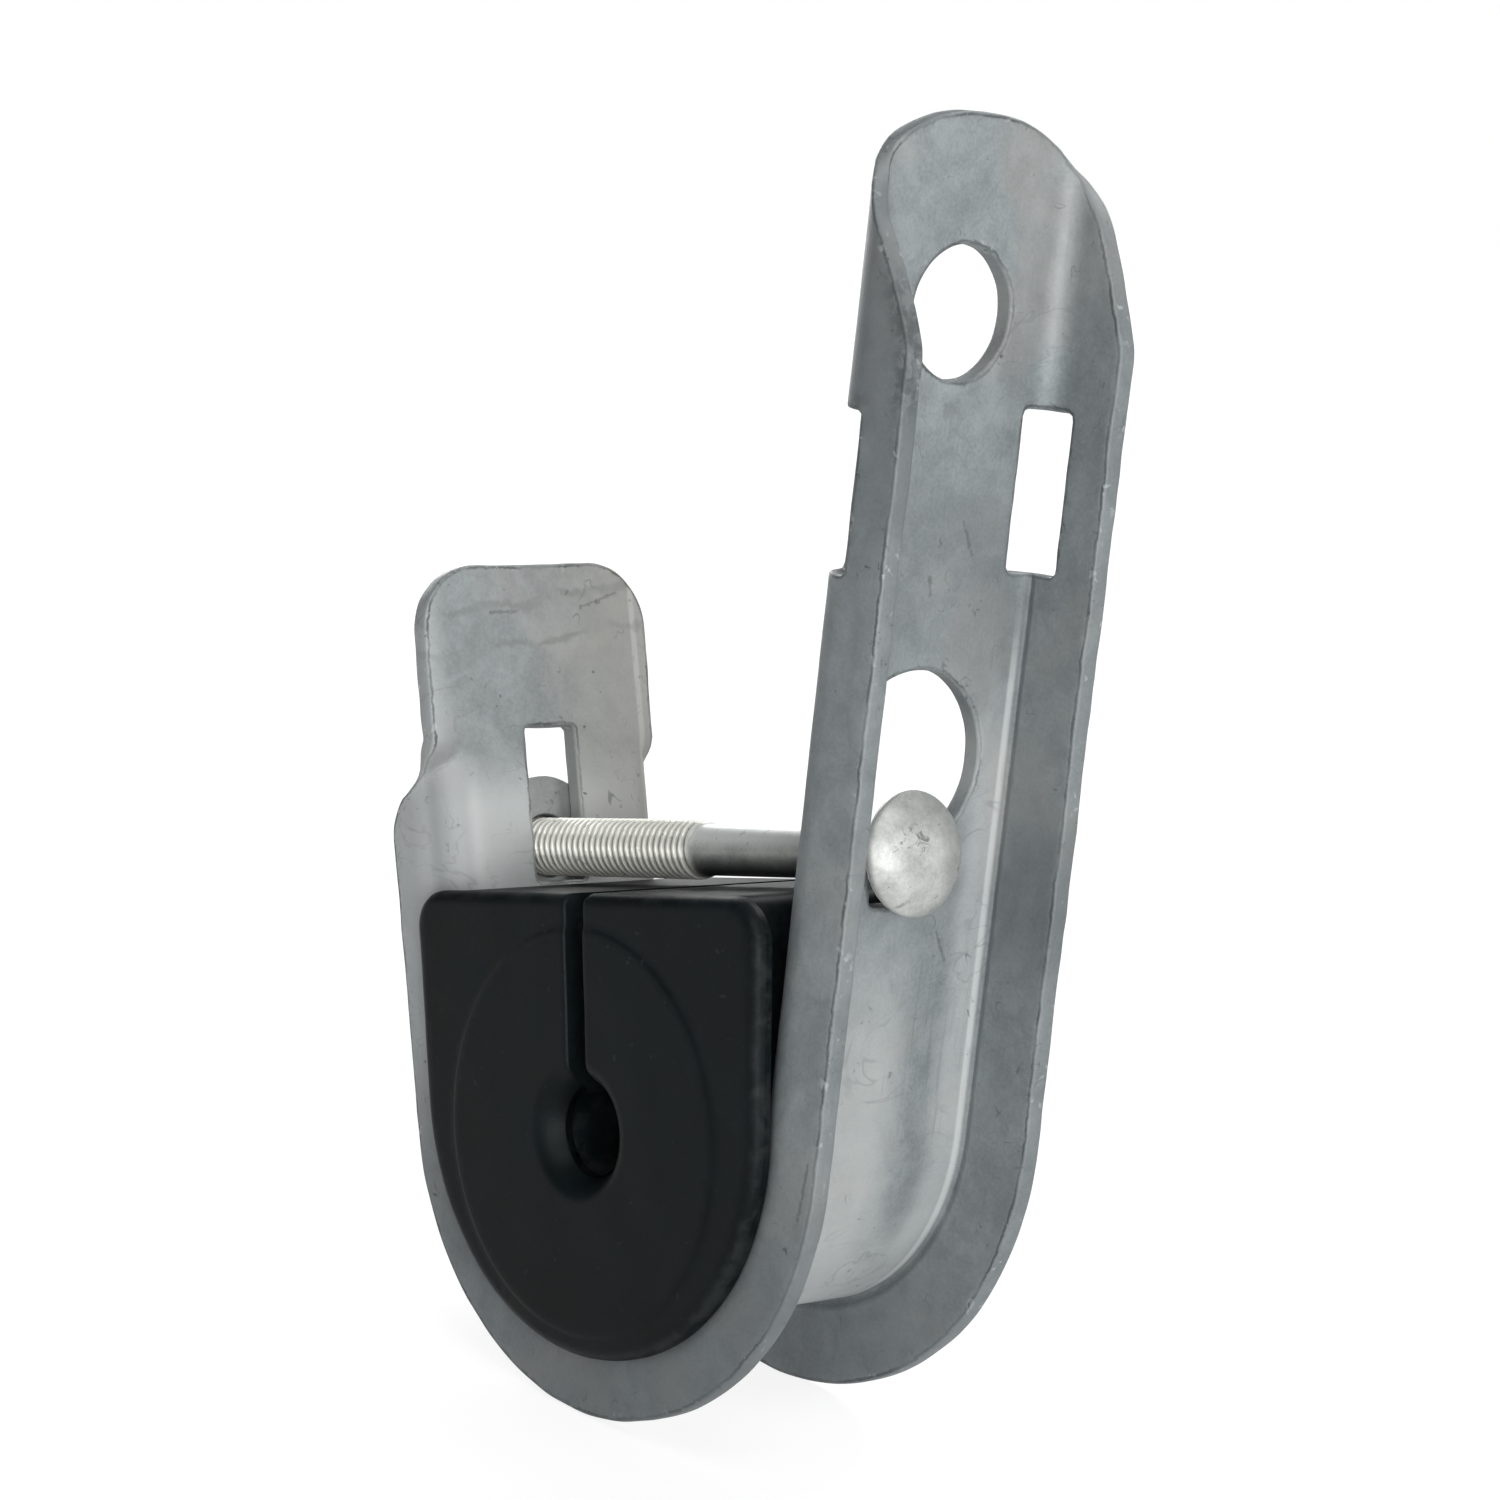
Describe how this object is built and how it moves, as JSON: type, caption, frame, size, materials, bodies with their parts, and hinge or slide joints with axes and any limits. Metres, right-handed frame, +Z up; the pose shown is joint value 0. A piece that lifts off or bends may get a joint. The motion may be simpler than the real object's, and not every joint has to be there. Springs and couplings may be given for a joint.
{
  "type": "j-hanger",
  "caption": "Pressed steel J-shaped hook with a long holed leg, a black rubber cable insert and a clamp bolt across its mouth.",
  "frame": {"origin": "axis of the pole bolt hole, at the outer face of the long leg's web", "axes": "+Z up along the long leg, Y along the cable, +X towards the pole"},
  "size_m": [0.0988, 0.046, 0.1756],
  "materials": {
    "zinc_sheet": "hot-dip galvanised, dull and mottled",
    "zinc_bolt": "zinc coated, satin",
    "rubber": "matte black, moulded"
  },
  "bodies": {
    "hanger": {"hook": "zinc_sheet", "insert": "rubber", "clamp_bolt": "zinc_bolt"},
    "washer": {"washer": "zinc_bolt"},
    "nut": {"nut": "zinc_bolt"}
  },
  "joints": [
    {"name": "washer_slide", "type": "slide", "parent": "hanger", "child": "washer", "axis": [-0.9799, 0, -0.1994], "range_m": [0, 0.005]},
    {"name": "nut_turn", "type": "hinge", "parent": "washer", "child": "nut", "pos_m": [-0.07407, 0, -0.08425], "axis": [-0.9799, 0, -0.1994], "range_deg": [0, 1440.1]}
  ],
  "couplings": [
    {"joint": "nut_turn", "follows": "washer_slide", "rad_per_m": 5026.5}
  ]
}
